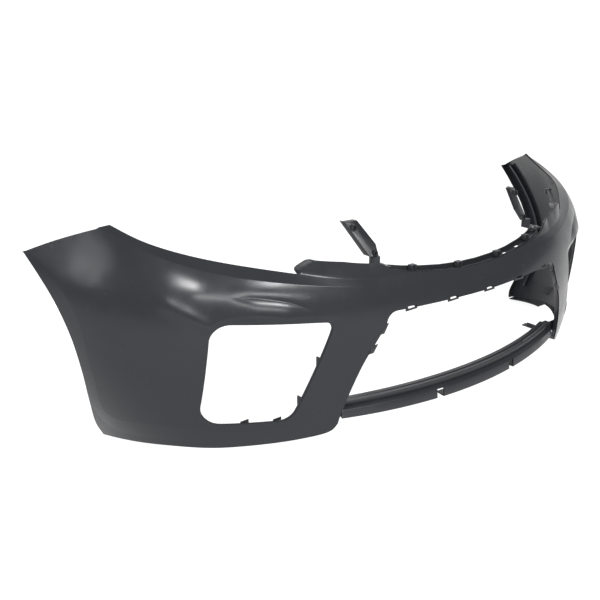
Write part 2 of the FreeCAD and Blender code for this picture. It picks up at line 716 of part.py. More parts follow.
os.makedirs("parts", exist_ok=True)
save("cover_skin", make_cover())
save("upper_grille_rail", make_grille_rail())
save("grille_clip_towers", make_clip_towers())
save_pair("upper_arm", make_arm())
save("arm_rivets", make_rivets())
save("lower_crossbar", make_crossbar())
save_pair("crossbar_bracket", make_bar_bracket())
save("crossbar_screws", make_bar_screws())
save_pair("undertray_flange", make_undertray_flange())
save_pair("wing_gusset", make_gusset())
save_pair("arch_rib", make_arch_rib())
save_pair("headlamp_strap", make_headlamp_strap())
save("strap_nuts", make_strap_nuts())
save_pair("fog_clips", make_fog_clips())
save("lower_grille_clips", make_grille_clips())
save_pair("pillar_clips", make_pillar_clips())
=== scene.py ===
import math

import bmesh
import bpy
import numpy as np
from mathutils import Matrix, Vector
from mathutils.geometry import delaunay_2d_cdt


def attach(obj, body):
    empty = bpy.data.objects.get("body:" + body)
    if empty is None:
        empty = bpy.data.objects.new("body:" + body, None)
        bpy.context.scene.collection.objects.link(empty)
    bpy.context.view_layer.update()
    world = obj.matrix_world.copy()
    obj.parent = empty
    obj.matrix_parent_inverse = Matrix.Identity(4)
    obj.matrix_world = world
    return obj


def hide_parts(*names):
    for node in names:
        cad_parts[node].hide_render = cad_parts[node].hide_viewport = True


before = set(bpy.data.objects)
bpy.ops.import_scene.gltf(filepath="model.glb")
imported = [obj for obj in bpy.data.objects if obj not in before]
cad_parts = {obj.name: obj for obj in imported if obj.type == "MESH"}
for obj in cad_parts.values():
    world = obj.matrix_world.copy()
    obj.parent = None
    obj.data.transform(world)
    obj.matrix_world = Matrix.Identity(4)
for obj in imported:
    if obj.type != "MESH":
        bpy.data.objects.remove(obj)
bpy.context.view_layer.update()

# Looks of a front bumper cover. Shapes are drawn in millimetres in the cover's own drawing
# frame (Y = 0 at the nose, Z = 0 at the lowest corner) and moved to the CAD frame by place().
ORIGIN = np.array((0.0, 184.0, 505.0))
MM = 0.001

# ---------------------------------------------------------------- camera
CAMERA_AT = Vector((-1.4704, -1.2939, 0.4617))
LOOK_AT = Vector((0.0, 0.5521, -0.3972))
camera_data = bpy.data.cameras.new("view_camera")
camera_data.lens = 48.0
camera_data.sensor_width = 36.0
camera = bpy.data.objects.new("view_camera", camera_data)
camera.location = CAMERA_AT
camera.rotation_euler = (LOOK_AT - CAMERA_AT).to_track_quat("-Z", "Y").to_euler()
bpy.context.scene.collection.objects.link(camera)
bpy.context.scene.camera = camera

# ---------------------------------------------------------------- control net of the shell
STATIONS = [
    [(0, 33, 402), (0, 27, 388), (0, 18, 370), (0, 4, 345), (0, 1, 290), (0, 1, 210), (0, 3, 130),
     (0, 9, 60), (0, 20, 0)],
    [(110, 39, 407), (110, 32, 391), (110, 24, 372), (110, 11, 345), (110, 8, 290), (110, 7, 210),
     (110, 9, 130), (110, 15, 60), (110, 26, 0)],
    [(215, 53, 419), (218, 43, 397), (220, 36, 376), (220, 27, 345), (220, 23, 290), (220, 22, 210),
     (220, 24, 130), (220, 32, 60), (220, 44, 0)],
    [(325, 78, 412), (325, 65, 402), (324, 55, 380), (322, 47, 345), (320, 43, 290), (320, 42, 210),
     (320, 45, 130), (320, 55, 60), (320, 68, 0)],
    [(428, 122, 432), (425, 107, 412), (422, 91, 385), (420, 81, 345), (420, 77, 290), (420, 77, 210),
     (420, 80, 130), (418, 91, 60), (416, 106, 0)],
    [(512, 188, 448), (515, 155, 427), (512, 132, 396), (511, 120, 350), (510, 116, 290), (510, 118, 210),
     (510, 122, 130), (508, 134, 60), (505, 151, 0)],
    [(584, 244, 463), (592, 207, 441), (593, 179, 409), (593, 164, 355), (592, 160, 290), (590, 163, 210),
     (590, 167, 130), (587, 178, 60), (582, 195, 0)],
    [(638, 296, 476), (653, 266, 457), (663, 233, 420), (667, 213, 360), (665, 208, 290), (662, 208, 210),
     (660, 213, 130), (654, 224, 60), (645, 240, 0)],
    [(682, 362, 489), (701, 338, 476), (721, 307, 430), (728, 280, 365), (728, 270, 290), (725, 268, 210),
     (720, 272, 130), (710, 282, 60), (698, 296, 0)],
    [(708, 415, 501), (727, 403, 495), (760, 378, 440), (774, 350, 370), (777, 340, 290), (773, 335, 210),
     (765, 340, 130), (752, 348, 60), (736, 360, 0)],
    [(731, 462, 519), (744, 464, 513), (782, 440, 445), (805, 420, 372), (813, 410, 290), (810, 408, 210),
     (798, 412, 130), (782, 420, 60), (764, 430, 0)],
    [(754, 520, 540), (766, 525, 522), (802, 506, 448), (830, 492, 375), (839, 487, 290), (836, 487, 210),
     (822, 490, 130), (804, 494, 60), (782, 500, 0)],
    [(788, 590, 540), (800, 592, 520), (834, 580, 450), (855, 568, 378), (859, 562, 290), (854, 560, 210),
     (838, 562, 130), (818, 565, 60), (794, 570, 0)],
    [(848, 690, 525), (860, 690, 505), (891, 685, 450), (897, 680, 380), (890, 675, 290), (880, 672, 210),
     (862, 670, 130), (838, 668, 60), (810, 668, 0)],
]

# ---------------------------------------------------------------- outlines
# Side views are (y, z), front views are (x, z), on the left half.
SEAM = [(477, 525), (534, 504), (594, 479), (662, 446)]
ARCH_EDGE = [(662, 446), (607, 397), (545, 332), (504, 262), (491, 190), (502, 105), (520, 30), (512, 3)]
BOTTOM_EDGE = [(512, 3), (477, 11), (406, 25), (304, 41), (207, 46), (125, 57), (95, 69), (83, 92)]
FOG_CORNERS = [(425, 337), (656, 348), (681, 116), (511, 116)]
FOG_RADII = [11, 38, 38, 34]
GRILLE_TOP_Z = 343.0
GRILLE_CORNER_X = 297.0
GRILLE_CORNER_R = 20.0
PILLAR_LINE = [(366, 220), (404, 112)]
NOTCH_X = (240.0, 120.0, 0.0)
NOTCH_HALF = 11.0
NOTCH_RISE = 4.5
FLARE_LINE = [(675, 490), (640, 456), (600, 425), (561, 398), (527, 372), (490, 337), (468, 296),
              (457, 240), (452, 175), (456, 118), (449, 95), (425, 87), (385, 92), (331, 100), (271, 104),
              (225, 102), (160, 96), (110, 103), (70, 112)]

SHELL = 3.0
REAR_LIMIT = 659.5
EDGE_R = 2.2
MESH_STEP = 6.0
EDGE_STEP = 4.0


def place(points):
    """Drawing frame in millimetres to the CAD frame in metres."""
    return (np.asarray(points, float) - ORIGIN) * MM


# ---------------------------------------------------------------- spline surface
def basis(count, degree, t):
    """Clamped uniform B-spline basis at each t in 0..1, one row per value."""
    inner = count - degree
    knots = np.concatenate([np.zeros(degree), np.linspace(0, 1, inner + 1), np.ones(degree)])
    t = np.clip(np.asarray(t, float), 0, 1 - 1e-9)
    table = np.zeros((len(t), len(knots) - 1))
    span = np.searchsorted(knots, t, side="right") - 1
    table[np.arange(len(t)), span] = 1.0
    for k in range(1, degree + 1):
        longer = np.zeros_like(table)
        for i in range(len(knots) - 1 - k):
            left = knots[i + k] - knots[i]
            right = knots[i + k + 1] - knots[i + 1]
            if left > 0:
                longer[:, i] += (t - knots[i]) / left * table[:, i]
            if right > 0:
                longer[:, i] += (knots[i + k + 1] - t) / right * table[:, i + 1]
        table = longer
    return table[:, :count]


HALF_NET = np.array(STATIONS, float)
NET = np.concatenate([HALF_NET[:0:-1] * (-1, 1, 1), HALF_NET])
LEDGE_NET = NET[:, 0]
BODY_NET = NET[:, 1:]


def net_point(u, v):
    """Point on the smooth shell; v runs from -1 at the ledge through 0 at the crease to 1 at the bottom."""
    u = np.asarray(u, float)
    v = np.asarray(v, float)
    along = basis(len(NET), 3, u)
    down = basis(BODY_NET.shape[1], 3, np.clip(v, 0, 1))
    body = np.einsum("ni,nj,ijk->nk", along, down, BODY_NET)
    ledge = along @ LEDGE_NET
    share = np.clip(-v, 0, None)[:, None]
    return body + (ledge - along @ BODY_NET[:, 0]) * share


def net_normal(u, v, surface=net_point, step=0.0015):
    """Outward normal by central differences that stay on one side of the crease."""
    v = np.asarray(v, float)
    lo = np.where(v >= 0, np.maximum(v - step, 0), v - step)
    hi = np.where(v >= 0, v + step, np.minimum(v + step, 0))
    across = surface(u + step, v) - surface(u - step, v)
    down = surface(u, hi) - surface(u, lo)
    n = np.cross(down, across)
    return n / np.linalg.norm(n, axis=1)[:, None]


def lengths(curve):
    """Length along a polyline at each of its points."""
    return np.concatenate([[0], np.cumsum(np.linalg.norm(np.diff(curve, axis=0), axis=1))])


# ---------------------------------------------------------------- flat drawing domain in millimetres
# (s, t) are lengths across and down the shell; (u, v) are the surface parameters.
U_KNOTS = np.linspace(0.5, 1, 240)
_row = net_point(U_KNOTS, np.full(len(U_KNOTS), 0.35))
S_KNOTS = lengths(_row)
V_KNOTS = np.linspace(0, 1, 120)
_col = net_point(np.full(len(V_KNOTS), 0.8), V_KNOTS)
T_KNOTS = lengths(_col)
LEDGE_WIDTH = 32.0


def to_uv(st):
    st = np.asarray(st, float)
    u = np.interp(st[:, 0], S_KNOTS, U_KNOTS)
    v = np.interp(st[:, 1], T_KNOTS, V_KNOTS)
    return u, np.where(st[:, 1] < 0, st[:, 1] / LEDGE_WIDTH, v)


def to_st(u, v):
    s = np.interp(u, U_KNOTS, S_KNOTS)
    t = np.interp(v, V_KNOTS, T_KNOTS)
    return np.stack([s, np.where(v < 0, v * LEDGE_WIDTH, t)], axis=1)


GUESS_U, GUESS_V = [g.ravel() for g in np.meshgrid(np.linspace(0.5, 1, 121), np.linspace(-1, 1, 121))]
GUESS = net_point(GUESS_U, GUESS_V)


def project_to_net(points, axes):
    """(u, v) of points given in a view; axes are the two coordinates of that view."""
    target = np.asarray(points, float)
    gap = np.linalg.norm(GUESS[None, :, axes] - target[:, None, :], axis=2)
    best = gap.argmin(axis=1)
    u, v = GUESS_U[best].copy(), GUESS_V[best].copy()
    step = 1e-4
    for _ in range(12):
        here = net_point(u, v)[:, axes]
        ju = (net_point(u + step, v)[:, axes] - net_point(u - step, v)[:, axes]) / (2 * step)
        jv = (net_point(u, v + step)[:, axes] - net_point(u, v - step)[:, axes]) / (2 * step)
        miss = target - here
        det = ju[:, 0] * jv[:, 1] - ju[:, 1] * jv[:, 0]
        det = np.where(abs(det) < 1e-6, 1e-6, det)
        du = (miss[:, 0] * jv[:, 1] - miss[:, 1] * jv[:, 0]) / det
        dv = (ju[:, 0] * miss[:, 1] - ju[:, 1] * miss[:, 0]) / det
        u = np.clip(u + np.clip(du, -0.05, 0.05), 0.4, 1.0)
        v = np.clip(v + np.clip(dv, -0.1, 0.1), -1.6, 1.0)
    return u, v


SIDE = [1, 2]
FRONT = [0, 2]


# ---------------------------------------------------------------- flat curves
def resample(points, step):
    points = np.asarray(points, float)
    length = lengths(points)
    count = max(2, int(round(length[-1] / step)) + 1)
    at = np.linspace(0, length[-1], count)
    return np.stack([np.interp(at, length, points[:, i]) for i in range(points.shape[1])], axis=1)


def resample_corners(curve, step):
    """Even spacing between the sharp turns of a polyline, keeping each turn."""
    d = np.diff(curve, axis=0)
    keep = np.linalg.norm(d, axis=1) > 1e-6
    curve = np.concatenate([curve[:-1][keep], curve[-1:]])
    d = np.diff(curve, axis=0)
    heading = np.arctan2(d[:, 1], d[:, 0])
    turn = np.abs((np.diff(heading) + math.pi) % (2 * math.pi) - math.pi)
    corners = [0] + [i + 1 for i in np.where(turn > 0.3)[0]] + [len(curve) - 1]
    parts = [resample(curve[a:b + 1], step)[:-1] for a, b in zip(corners[:-1], corners[1:])]
    return np.concatenate(parts + [curve[-1:]])


def smooth_curve(points, step):
    """Centripetal Catmull-Rom curve through the points."""
    p = np.asarray(points, float)
    p = np.concatenate([[2 * p[0] - p[1]], p, [2 * p[-1] - p[-2]]])
    out = []
    for i in range(1, len(p) - 2):
        knots = np.cumsum([0] + [max(np.linalg.norm(p[i + k] - p[i + k - 1]), 1e-6) ** 0.5 for k in range(3)])
        t = np.linspace(knots[1], knots[2], 16, endpoint=False)[:, None]
        a = [((knots[k + 1] - t) * p[i - 1 + k] + (t - knots[k]) * p[i + k]) / (knots[k + 1] - knots[k])
             for k in range(3)]
        b = [((knots[k + 2] - t) * a[k] + (t - knots[k]) * a[k + 1]) / (knots[k + 2] - knots[k])
             for k in range(2)]
        out.append(((knots[2] - t) * b[0] + (t - knots[1]) * b[1]) / (knots[2] - knots[1]))
    out.append(p[-2][None])
    return resample(np.concatenate(out), step)


def rounded_polygon(corners, radii, step):
    """Closed loop with each corner rounded; the first point isn't repeated."""
    pts = [np.array(c, float) for c in corners]
    loop = []
    for i, radius in enumerate(radii):
        here = pts[i]
        before = pts[i - 1] - here
        after = pts[(i + 1) % len(pts)] - here
        before /= np.linalg.norm(before)
        after /= np.linalg.norm(after)
        half = math.acos(np.clip(before @ after, -1, 1)) / 2
        bisector = (before + after) / np.linalg.norm(before + after)
        centre = here + bisector * radius / math.sin(half)
        start = here + before * radius / math.tan(half)
        end = here + after * radius / math.tan(half)
        a0 = math.atan2(*(start - centre)[::-1])
        turn = (math.atan2(*(end - centre)[::-1]) - a0 + math.pi) % (2 * math.pi) - math.pi
        for k in range(13):
            angle = a0 + turn * k / 12
            loop.append(centre + radius * np.array((math.cos(angle), math.sin(angle))))
    loop.append(loop[0])
    return resample(loop, step)[:-1]


def crossing(a, b):
    """First crossing of two open curves: (index on a, index on b, point)."""
    for i in range(len(a) - 1):
        p, r = a[i], a[i + 1] - a[i]
        q = b[:-1]
        s = np.diff(b, axis=0)
        det = r[0] * s[:, 1] - r[1] * s[:, 0]
        det = np.where(abs(det) < 1e-12, 1e-12, det)
        d = q - p
        t = (d[:, 0] * s[:, 1] - d[:, 1] * s[:, 0]) / det
        w = (d[:, 0] * r[1] - d[:, 1] * r[0]) / det
        hit = np.where((t >= 0) & (t <= 1) & (w >= 0) & (w <= 1))[0]
        if len(hit):
            return i, hit[0], p + r * t[hit[0]]
    raise ValueError("the two outlines don't cross")


def extended(curve, start=0.0, end=0.0):
    curve = np.asarray(curve, float)
    parts = [curve]
    if start:
        d = curve[0] - curve[1]
        parts.insert(0, (curve[0] + d / np.linalg.norm(d) * start)[None])
    if end:
        d = curve[-1] - curve[-2]
        parts.append((curve[-1] + d / np.linalg.norm(d) * end)[None])
    return np.concatenate(parts)


def distance_to(points, curve, closed=False):
    """Distance to a polyline, the side (positive on its left) and how far along it the nearest point is."""
    curve = np.asarray(curve, float)
    if closed:
        curve = np.concatenate([curve, curve[:1]])
    best = np.full(len(points), 1e9)
    side = np.zeros(len(points))
    along = np.zeros(len(points))
    for start, a, b in zip(lengths(curve), curve[:-1], curve[1:]):
        d = b - a
        t = np.clip(((points - a) @ d) / max(d @ d, 1e-12), 0, 1)
        gap = points - (a + t[:, None] * d)
        length = np.linalg.norm(gap, axis=1)
        nearer = length < best
        best = np.where(nearer, length, best)
        side = np.where(nearer, np.sign(d[0] * gap[:, 1] - d[1] * gap[:, 0]), side)
        along = np.where(nearer, start + t * np.linalg.norm(d), along)
    return best, side, along


def inside(points, loop):
    x, y = points[:, 0], points[:, 1]
    result = np.zeros(len(points), bool)
    for a, b in zip(loop, np.roll(loop, -1, axis=0)):
        crosses = (a[1] > y) != (b[1] > y)
        at = (b[0] - a[0]) * (y - a[1]) / (b[1] - a[1] + 1e-12) + a[0]
        result ^= crosses & (x < at)
    return result


# ---------------------------------------------------------------- raised panels above the ledge
PANEL_TOP = [(120, 40, 407), (180, 48, 414.5), (225, 59, 420.5), (263, 71, 427), (292, 80, 446),
             (322, 96, 450), (375, 116, 459), (431, 138, 467), (455, 148, 452), (467, 142, 438)]
PANEL_START_X = 70.0


def ledge_u(x):
    """u of the ledge's upper edge at each x on the left half."""
    table_u = np.linspace(0.5, 1, 400)
    table_x = (basis(len(NET), 3, table_u) @ LEDGE_NET)[:, 0]
    return np.interp(x, table_x, table_u)


def panel_shape():
    """Where the panel stands on the ledge, how high it rises there and which way it leans."""
    foot_u = ledge_u(np.array([PANEL_START_X] + [p[0] for p in PANEL_TOP]))
    foot = basis(len(NET), 3, foot_u) @ LEDGE_NET
    top = np.array([foot[0]] + PANEL_TOP, float)
    step = top - foot
    rise = np.linalg.norm(step, axis=1)
    rise[-1] = 0.0
    s = np.interp(foot_u, U_KNOTS, S_KNOTS)
    tall = rise > 25
    return s, rise, s[tall], step[tall] / rise[tall, None]


PANEL_S, PANEL_RISE, LEAN_S, LEAN = panel_shape()


def panel_lean(s):
    """Unit direction in which the panel stands up from the ledge."""
    lean = np.stack([np.interp(s, LEAN_S, LEAN[:, i]) for i in range(3)], axis=1)
    return lean / np.linalg.norm(lean, axis=1)[:, None]


# ---------------------------------------------------------------- shaped surface
def st_line(points, axes, step=EDGE_STEP):
    return resample(to_st(*project_to_net(smooth_curve(points, step), axes)), step)


FLARE = st_line(FLARE_LINE, SIDE)
BROW = st_line([(400, 347), (434, 352), (474, 356), (550, 360), (610, 362), (632, 360), (648, 352),
                (657, 338), (665, 315), (672, 280), (681, 226), (686, 190), (688, 160), (686, 140)], FRONT)
STEP = st_line([(622, 408), (604, 404), (579, 403), (544, 397), (508, 388), (472, 371), (440, 352)], FRONT)
RIDGE = st_line([(740, 402), (716, 386), (697, 374), (677, 359), (656, 344), (648, 336)], FRONT)


# Heights and widths of the styling lines, in millimetres.
FLARE_LENGTH = lengths(FLARE)[-1]
FLARE_SLOPE = 0.055
FLARE_WIDTH = 45.0
BROW_LENGTH = lengths(BROW)[-1]
BROW_SLOPE = 0.38
BROW_WIDTH = 12.0
STEP_LENGTH = lengths(STEP)[-1]
STEP_DIP = 1.5
STEP_HEIGHT = 8.0
STEP_BELOW = 24.0
STEP_ABOVE = 14.0
RIDGE_LENGTH = lengths(RIDGE)[-1]
RIDGE_HEIGHT = 3.2
RIDGE_WIDTH = 16.0


def fade_in(x, start, stop):
    """Smooth step from 0 at start to 1 at stop."""
    share = np.clip((x - start) / (stop - start), 0, 1)
    return share * share * (3 - 2 * share)


def bump(st):
    """Distance that the styling lines move the smooth shell outwards, in millimetres."""
    gap, side, along = distance_to(st, FLARE)
    past = gap * (side < 0)
    out = (-FLARE_SLOPE * np.minimum(past, FLARE_WIDTH) * fade_in(-past, -260, -200)
           * fade_in(-along, -FLARE_LENGTH, -760.0))

    gap, side, along = distance_to(st, BROW)
    within = gap * (side > 0)
    deep = 1 - 0.75 * fade_in(along, 250, 330)
    ends = deep * fade_in(along, 0, 90) * fade_in(-along, -BROW_LENGTH, -BROW_LENGTH + 60)
    out -= BROW_SLOPE * ends * np.minimum(within, BROW_WIDTH) * fade_in(-within, -60, -20)

    gap, side, along = distance_to(st, STEP)
    ends = fade_in(along, 0, 60) * fade_in(-along, -STEP_LENGTH, -STEP_LENGTH + 90)
    below = gap * (side < 0)
    above = gap * (side > 0)
    step = np.where(side < 0, -STEP_DIP + STEP_HEIGHT * (1 - np.exp(-below / STEP_BELOW)),
                    -STEP_DIP * np.exp(-above / STEP_ABOVE))
    out += ends * step * fade_in(-within, -26, -2) * fade_in(-below, -75, -40)

    gap, _, along = distance_to(st, RIDGE)
    ends = fade_in(along, 0, 60) * fade_in(-along, -RIDGE_LENGTH, -RIDGE_LENGTH + 25)
    out += RIDGE_HEIGHT * ends * np.exp(-(gap / RIDGE_WIDTH) ** 2)
    return out


def shaped(st):
    """Outer surface at each drawing point, with the styling lines and panels."""
    st = np.asarray(st, float)
    above = np.clip(-LEDGE_WIDTH - st[:, 1], 0, None)
    u, v = to_uv(np.stack([st[:, 0], np.maximum(st[:, 1], -LEDGE_WIDTH)], axis=1))
    base = net_point(u, v)
    normal = net_normal(u, v)
    return base + normal * bump(st)[:, None] + panel_lean(st[:, 0]) * above[:, None]


# ---------------------------------------------------------------- outline of the left half
def side_curve(points, start=0.0, end=0.0):
    return extended(st_line(points, SIDE), start, end)


def panel_outline():
    """Upper edge of the ledge and panel, from the centre line to the wing."""
    s = np.concatenate([[0.0], PANEL_S, [S_KNOTS[-1]]])
    rise = np.concatenate([[0.0], PANEL_RISE, [0.0]])
    return np.stack([s, -LEDGE_WIDTH - rise], axis=1)


def grille_curve():
    """Side of the lower grille opening from the foot of the pillar up and in to the centre."""
    top = GRILLE_TOP_Z
    corner = GRILLE_CORNER_X
    radius = GRILLE_CORNER_R
    arc_start = np.array((corner - radius, top))
    arc_end = np.array((corner + radius * 0.42, top - radius * 1.25))
    bend = np.array((corner + 3, top))
    t = np.linspace(0, 1, 10)[:, None]
    arc = arc_end * (1 - t) ** 2 + bend * 2 * t * (1 - t) + arc_start * t ** 2
    side = smooth_curve([(410, 60), PILLAR_LINE[1], PILLAR_LINE[0], tuple(arc_end)], EDGE_STEP)
    beam = [tuple(arc_start)]
    for x in NOTCH_X:
        right, left = x + NOTCH_HALF, max(x - NOTCH_HALF, 0.0)
        beam += [(right, top), (right, top + NOTCH_RISE), (left, top + NOTCH_RISE)]
        beam += [(left, top)] if x else []
    beam = resample_corners(np.array(beam, float), EDGE_STEP)
    front = np.concatenate([side[:-1], arc[:-1], beam])
    front[:, 0] = np.maximum(front[:, 0], 0.0)
    return to_st(*project_to_net(front, FRONT))


def join_outline():
    """The five edges of the left half in order round the piece, cut where they meet."""
    top = panel_outline()
    seam = side_curve(SEAM, start=60)
    bottom = side_curve(BOTTOM_EDGE, end=60)
    grille = grille_curve()
    i, j, meet = crossing(top, seam)
    top = np.concatenate([top[:i + 1], meet[None]])
    seam = np.concatenate([meet[None], seam[j + 1:]])
    i, j, meet = crossing(bottom, grille)
    bottom = np.concatenate([bottom[:i + 1], meet[None]])
    grille = np.concatenate([meet[None], grille[j + 1:]])
    return top, seam, side_curve(ARCH_EDGE), bottom, grille


TOP, SEAM_ST, ARCH_ST, BOTTOM_ST, GRILLE_ST = join_outline()
FOG_ST = to_st(*project_to_net(rounded_polygon(FOG_CORNERS, FOG_RADII, EDGE_STEP), FRONT))


# ---------------------------------------------------------------- meshing the skin
def left_normals(curve, closed=False):
    """Unit normals on the left of a curve in the drawing plane."""
    if closed:
        along = np.roll(curve, -1, axis=0) - np.roll(curve, 1, axis=0)
    else:
        along = np.gradient(curve, axis=0)
    along /= np.linalg.norm(along, axis=1)[:, None]
    return np.stack([-along[:, 1], along[:, 0]], axis=1)


def moved(curve, distance, closed=False):
    return curve + left_normals(curve, closed) * distance


def clipped(curve, loop, holes, margin):
    """Part of a styling line that lies on the piece, clear of its edges."""
    keep = inside(curve, loop)
    keep &= distance_to(curve, loop, closed=True)[0] > margin
    for hole in holes:
        keep &= ~inside(curve, hole)
        keep &= distance_to(curve, hole, closed=True)[0] > margin
    runs = np.split(np.arange(len(curve)), np.where(~keep)[0])
    runs = [[i for i in run if keep[i]] for run in runs]
    return [curve[run] for run in runs if len(run) > 1]


# A flange runs against the surface normal, towards the centre line, or to the rear.
AGAINST_NORMAL, TO_CENTRE, TO_REAR = 0, 1, 2
END_FACE_DEPTH = 26.0
FOG_FLANGE_DEPTH = 7.0


def outline_loop():
    """The left half's outline in order, with its flange depth and direction at each point."""
    runs = [(TOP, 5.0, AGAINST_NORMAL), (SEAM_ST, 12.0, AGAINST_NORMAL), (ARCH_ST, 20.0, TO_CENTRE),
            (BOTTOM_ST, 16.0, AGAINST_NORMAL), (GRILLE_ST, 13.0, TO_REAR)]
    points, depth, kind = [], [], []
    for curve, deep, how in runs:
        fine = resample_corners(curve, EDGE_STEP)
        fine = fine[:-1] if curve is not GRILLE_ST else fine
        points.append(fine)
        deep = np.full(len(fine), deep)
        how = np.full(len(fine), how)
        if curve is TOP:
            end_face = (fine[:, 0] > PANEL_S[-3] + 1) & (fine[:, 0] < PANEL_S[-1] - 1)
            deep[end_face] = END_FACE_DEPTH
            how[end_face] = TO_REAR
        depth.append(deep)
        kind.append(how)
    return np.concatenate(points), np.concatenate(depth), np.concatenate(kind)


def interior_points(loop, hole, lines):
    low, high = loop.min(axis=0), loop.max(axis=0)
    s = np.arange(low[0], high[0], MESH_STEP)
    t = np.arange(low[1], high[1], MESH_STEP * 0.87)
    grid_s, grid_t = np.meshgrid(s, t)
    grid_s = grid_s + (np.arange(len(t)) % 2)[:, None] * MESH_STEP / 2
    pts = np.stack([grid_s.ravel(), grid_t.ravel()], axis=1)
    pts = pts[inside(pts, loop) & ~inside(pts, hole)]
    pts = pts[pts[:, 0] > MESH_STEP * 0.5]
    clear = np.ones(len(pts), bool)
    clear &= distance_to(pts, loop, closed=True)[0] > MESH_STEP * 0.6
    clear &= distance_to(pts, hole, closed=True)[0] > MESH_STEP * 0.6
    for line in lines:
        clear &= distance_to(pts, line)[0] > MESH_STEP * 0.45
    return pts[clear]


def twice_area(loop):
    return np.sum(loop[:, 0] * np.roll(loop[:, 1], -1) - loop[:, 1] * np.roll(loop[:, 0], -1))


def inset_loops(loop):
    """The half outline and the fog lamp opening, set back by the edge radius, and the centre line."""
    middle = loop[:, 0] < 1e-6
    centre_line = resample(np.array([loop[-1], loop[0]]), MESH_STEP)[1:-1]
    normal = left_normals(np.concatenate([loop, centre_line]), closed=True)[:len(loop)]
    normal[middle] = np.sign(normal[middle]) * (0, 1)
    turn = 1 if twice_area(loop) > 0 else -1
    loop = loop + normal * turn * EDGE_R
    loop[middle, 0] = 0.0
    fog = FOG_ST[::-1] if twice_area(FOG_ST) * turn > 0 else FOG_ST
    fog = fog + left_normals(fog, closed=True) * turn * EDGE_R
    return loop, centre_line, fog


def feature_lines(outer, fog):
    """Lines that the mesh follows: close rows along each styling line, the crease and the panel's foot."""
    lines = []
    for line in (FLARE, BROW, STEP):
        for shift in (-1.6, 0.0, 1.6):
            lines += clipped(moved(line, shift), outer, [fog], 2.0)
    crease = np.stack([np.arange(0, 1300, EDGE_STEP), np.zeros(325)], axis=1)
    for shift in (-1.2, 0.0, 1.2):
        lines += clipped(crease + (0, shift), outer, [fog], 2.0)
    foot = resample([(PANEL_S[0], -LEDGE_WIDTH), (PANEL_S[-1], -LEDGE_WIDTH)], EDGE_STEP)
    for shift in (-1.0, 1.0):
        lines += clipped(foot + (0, shift), outer, [fog], 2.0)
    for line in lines:
        line[:, 0] = np.maximum(line[:, 0], 0)
    return lines


def triangulate(loop, centre_line, fog):
    """Drawing points, triangles, and where the outline's and the opening's points ended up."""
    outer = np.concatenate([loop, centre_line])
    lines = feature_lines(outer, fog)
    points = [outer, fog]
    edges = [(i, (i + 1) % len(outer)) for i in range(len(outer))]
    edges += [(len(outer) + i, len(outer) + (i + 1) % len(fog)) for i in range(len(fog))]
    count = len(outer) + len(fog)
    for line in lines:
        points.append(line)
        edges += [(count + i, count + i + 1) for i in range(len(line) - 1)]
        count += len(line)
    points.append(interior_points(outer, fog, lines))
    flat = np.concatenate(points)
    co, _, faces, origin, _, _ = delaunay_2d_cdt([Vector(p) for p in flat], edges, [], 0, 1e-4)
    co = np.array([tuple(c) for c in co])
    tri = np.array([f for f in faces if len(f) == 3])
    middle_of = co[tri].mean(axis=1)
    tri = tri[inside(middle_of, outer) & ~inside(middle_of, fog)]
    home = {old: new for new, olds in enumerate(origin) for old in olds}
    edge_outer = np.array([home[i] for i in range(len(loop))])
    edge_fog = np.array([home[len(outer) + i] for i in range(len(fog))])
    return co, tri, edge_outer, edge_fog


def skin_surface(co):
    """Outer surface and its normals at the drawing points; those on the centre line stay on it."""
    on_middle = np.abs(co[:, 0]) < 1e-6
    front = shaped(co)
    front[on_middle, 0] = 0.0
    front[:, 1] = np.minimum(front[:, 1], REAR_LIMIT)
    across = shaped(co + (0.4, 0)) - shaped(co - (0.4, 0))
    down = shaped(co + (0, 0.4)) - shaped(co - (0, 0.4))
    normals = np.cross(down, across)
    normals /= np.linalg.norm(normals, axis=1)[:, None]
    normals[on_middle, 0] = 0
    normals /= np.linalg.norm(normals, axis=1)[:, None]
    return front, normals


def skin_mesh():
    """Left half of the moulding: outer and inner faces joined by rolled rims."""
    loop, depth, kind = outline_loop()
    co, tri, edge_outer, edge_fog = triangulate(*inset_loops(loop))
    front, normals = skin_surface(co)
    a, b, c = front[tri[:, 0]], front[tri[:, 1]], front[tri[:, 2]]
    facing = np.einsum("ij,ij->i", np.cross(b - a, c - a), normals[tri[:, 0]])
    polys = [tuple(t) if f > 0 else tuple(t)[::-1] for t, f in zip(tri, facing)]
    polys += [tuple(int(i) + len(co) for i in t[::-1]) for t in polys]
    verts = [front, front - normals * SHELL]
    total = 2 * len(co)
    fog_rim = (edge_fog, np.full(len(edge_fog), FOG_FLANGE_DEPTH), np.full(len(edge_fog), TO_REAR), True)
    for ids, deep, how, closed in ((edge_outer, depth, kind, False), fog_rim):
        rim = rolled_rim(front[ids], normals[ids], deep, how, closed)
        n = len(ids)
        grid = [list(ids)] + [[total + r * n + i for i in range(n)] for r in range(len(rim))] + [
            [int(i) + len(co) for i in ids]]
        for r in range(len(grid) - 1):
            for i in range(n if closed else n - 1):
                k = (i + 1) % n
                polys.append((grid[r][i], grid[r + 1][i], grid[r + 1][k], grid[r][k]))
        verts.append(rim.reshape(-1, 3))
        total += len(rim) * n
    verts = np.concatenate(verts)
    verts[:, 1] = np.minimum(verts[:, 1], REAR_LIMIT + EDGE_R)
    return verts, polys


